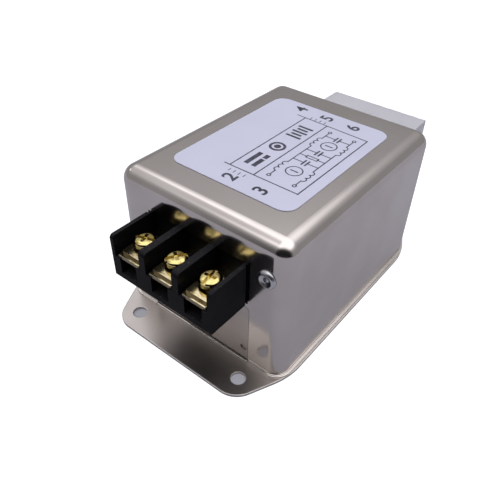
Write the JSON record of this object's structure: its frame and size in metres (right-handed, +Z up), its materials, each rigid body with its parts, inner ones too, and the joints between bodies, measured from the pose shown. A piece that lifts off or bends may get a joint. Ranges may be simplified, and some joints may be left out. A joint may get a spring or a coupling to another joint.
{
  "type": "emi line filter",
  "caption": "Single-phase EMI line filter: rounded metal case on a base plate with slanted mounting flanges, screw terminal blocks at both ends, clear cover at the rear.",
  "frame": {"origin": "middle of the four mounting holes, on the base plate's underside", "axes": "+Z up out of the mounting face, -Y towards the line terminals, +Y towards the covered load terminals, +X across the case"},
  "size_m": [0.054, 0.1005, 0.0421],
  "materials": {
    "nickel_sheet": "satin nickel-plated steel",
    "plain_sheet": "satin",
    "black_moulding": "fine satin moulding",
    "terminal_brass": "bright passivated brass",
    "rivet_aluminium": "satin",
    "frosted_cover": "translucent, lightly frosted",
    "label_film": "silver-white printed film",
    "liner_film": "matt insulating film",
    "board_laminate": "satin solder mask",
    "white_moulding": "matt",
    "tinned_copper": "bright tin",
    "ferrite": "matt",
    "winding_copper": "enamelled copper",
    "capacitor_box": "satin",
    "capacitor_disc": "dipped coat",
    "resistor_coat": "lacquered"
  },
  "bodies": {
    "root": {"case": "nickel_sheet", "base_plate": "nickel_sheet", "front_closing_plate": "plain_sheet", "rear_closing_plate": "plain_sheet", "front_terminal_block": "black_moulding", "rear_terminal_block": "black_moulding", "line_terminal_plate_1": "terminal_brass", "line_terminal_plate_2": "terminal_brass", "line_terminal_plate_3": "terminal_brass", "load_terminal_plate_1": "terminal_brass", "load_terminal_plate_2": "terminal_brass", "load_terminal_plate_3": "terminal_brass", "front_clamp_washers": "terminal_brass", "rear_clamp_washers": "terminal_brass", "front_terminal_screws": "terminal_brass", "rear_terminal_screws": "terminal_brass", "blind_rivets": "rivet_aluminium", "rear_terminal_cover": "frosted_cover", "label": "label_film", "insulating_liner": "liner_film", "circuit_board": "board_laminate", "board_spacers": "white_moulding", "earth_strap": "tinned_copper", "choke_core_1": "ferrite", "choke_core_2": "ferrite", "choke_1_winding_1": "winding_copper", "choke_1_winding_2": "winding_copper", "choke_2_winding_1": "winding_copper", "choke_2_winding_2": "winding_copper", "x_capacitor_1": "capacitor_box", "x_capacitor_2": "capacitor_box", "x_capacitor_3": "capacitor_box", "y_capacitor_1": "capacitor_disc", "y_capacitor_2": "capacitor_disc", "bleed_resistor": "resistor_coat", "line_link_wire_1": "tinned_copper", "line_link_wire_2": "tinned_copper", "line_link_wire_3": "tinned_copper", "load_link_wire_1": "tinned_copper", "load_link_wire_2": "tinned_copper", "load_link_wire_3": "tinned_copper"}
  },
  "joints": []
}
